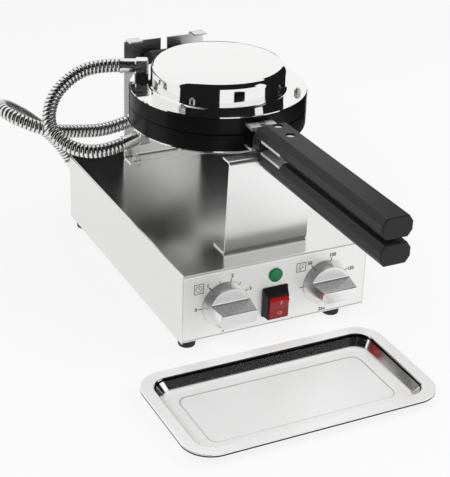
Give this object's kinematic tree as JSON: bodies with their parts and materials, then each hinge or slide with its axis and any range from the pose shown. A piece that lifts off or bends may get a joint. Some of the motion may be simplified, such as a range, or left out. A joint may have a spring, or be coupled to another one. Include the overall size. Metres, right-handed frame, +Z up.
{
  "type": "bubble waffle maker",
  "caption": "Countertop bubble waffle maker: a hinged round cooking head on a steel box that turns over by its long handles, with timer, thermostat, lamp, rocker switch and a loose drip tray.",
  "frame": {"origin": "on the table, under the middle of the whole object's box without its hoses", "axes": "+Z up, +Y from the handles and controls towards the rear bracket, +X to the right seen from the front"},
  "size_m": [0.3286, 0.5655, 0.2599],
  "materials": {
    "satin_steel": "satin, brushed lengthwise",
    "polished_steel": "mirror polished",
    "coated_aluminium": "black non-stick coating, satin",
    "tang_steel": "satin",
    "black_phenolic": "fine moulded satin",
    "black_gloss": "glossy moulded",
    "silver_knob": "silver metallic lacquer",
    "red_paddle": "glossy translucent red",
    "green_lens": "glossy translucent green",
    "black_rubber": "matt",
    "plated_steel": "bright zinc",
    "conduit_steel": "bright interlocked strip",
    "heater_steel": "dull sheath",
    "grey_plastic": "moulded"
  },
  "bodies": {
    "base": {"base_shell": "satin_steel", "front_panel": "satin_steel", "rear_panel": "satin_steel", "bottom_pan": "satin_steel", "foot_front_left": "black_rubber", "foot_front_right": "black_rubber", "foot_rear_left": "black_rubber", "foot_rear_right": "black_rubber", "foot_screws": "plated_steel", "timer_body": "grey_plastic", "thermostat_body": "grey_plastic", "indicator_body": "black_gloss", "indicator_lens": "green_lens", "switch_frame": "black_gloss", "terminal_block": "grey_plastic", "mains_gland": "black_phenolic", "front_bracket": "polished_steel", "rear_bracket": "polished_steel", "bracket_bolts_front": "plated_steel", "bracket_bolts_rear": "plated_steel", "supply_nut_base": "black_phenolic", "supply_elbow_base": "polished_steel", "hose_supply": "conduit_steel"},
    "head": {"casting_lower": "coated_aluminium", "cooking_plate_lower": "coated_aluminium", "heater_lower": "heater_steel", "cover_lower": "polished_steel", "flange_nuts_lower": "plated_steel", "tang_lower": "tang_steel", "tang_screw_lower": "plated_steel", "journal_lower": "black_phenolic", "handle_lower": "black_phenolic", "handle_screws_lower": "plated_steel", "hinge_pin": "plated_steel", "flip_axle": "plated_steel", "axle_washers": "plated_steel", "axle_nut": "plated_steel", "hose_nuts_head": "black_phenolic", "link_elbow_head": "polished_steel", "supply_elbow_head": "polished_steel", "hose_link": "conduit_steel"},
    "lid": {"casting_upper": "coated_aluminium", "cooking_plate_upper": "coated_aluminium", "heater_upper": "heater_steel", "cover_upper": "polished_steel", "flange_nuts_upper": "plated_steel", "tang_upper": "tang_steel", "tang_screw_upper": "plated_steel", "journal_upper": "black_phenolic", "handle_upper": "black_phenolic", "handle_screws_upper": "plated_steel", "link_nut_lid": "black_phenolic", "link_elbow_lid": "polished_steel"},
    "timer_dial": {"timer_knob": "silver_knob", "timer_spindle": "plated_steel"},
    "thermostat_dial": {"thermostat_knob": "silver_knob", "thermostat_spindle": "plated_steel"},
    "power_paddle": {"rocker": "red_paddle"},
    "loose_tray": {"drip_tray": "polished_steel"}
  },
  "joints": [
    {"name": "head_flip", "type": "hinge", "parent": "base", "child": "head", "pos_m": [0.038, 0.23, 0.2099], "axis": [0, -1, 0], "range_deg": [-180, 0], "deforming": ["hose_supply"]},
    {"name": "lid_open", "type": "hinge", "parent": "head", "child": "lid", "pos_m": [0.038, 0.208, 0.2099], "axis": [-1, 0, 0], "range_deg": [0, 93], "deforming": ["hose_link"]},
    {"name": "timer_turn", "type": "hinge", "parent": "base", "child": "timer_dial", "pos_m": [-0.0225, -0.07, 0.0475], "axis": [0, 1, 0], "range_deg": [0, 270]},
    {"name": "thermostat_turn", "type": "hinge", "parent": "base", "child": "thermostat_dial", "pos_m": [0.097, -0.07, 0.0483], "axis": [0, 1, 0], "range_deg": [0, 270]},
    {"name": "power_rock", "type": "hinge", "parent": "base", "child": "power_paddle", "pos_m": [0.0365, -0.075, 0.0356], "axis": [1, 0, 0], "range_deg": [-20, 0]},
    {"name": "tray_lift", "type": "slide", "parent": "base", "child": "loose_tray", "axis": [0, 0, 1], "range_m": [0, 0.05]}
  ]
}
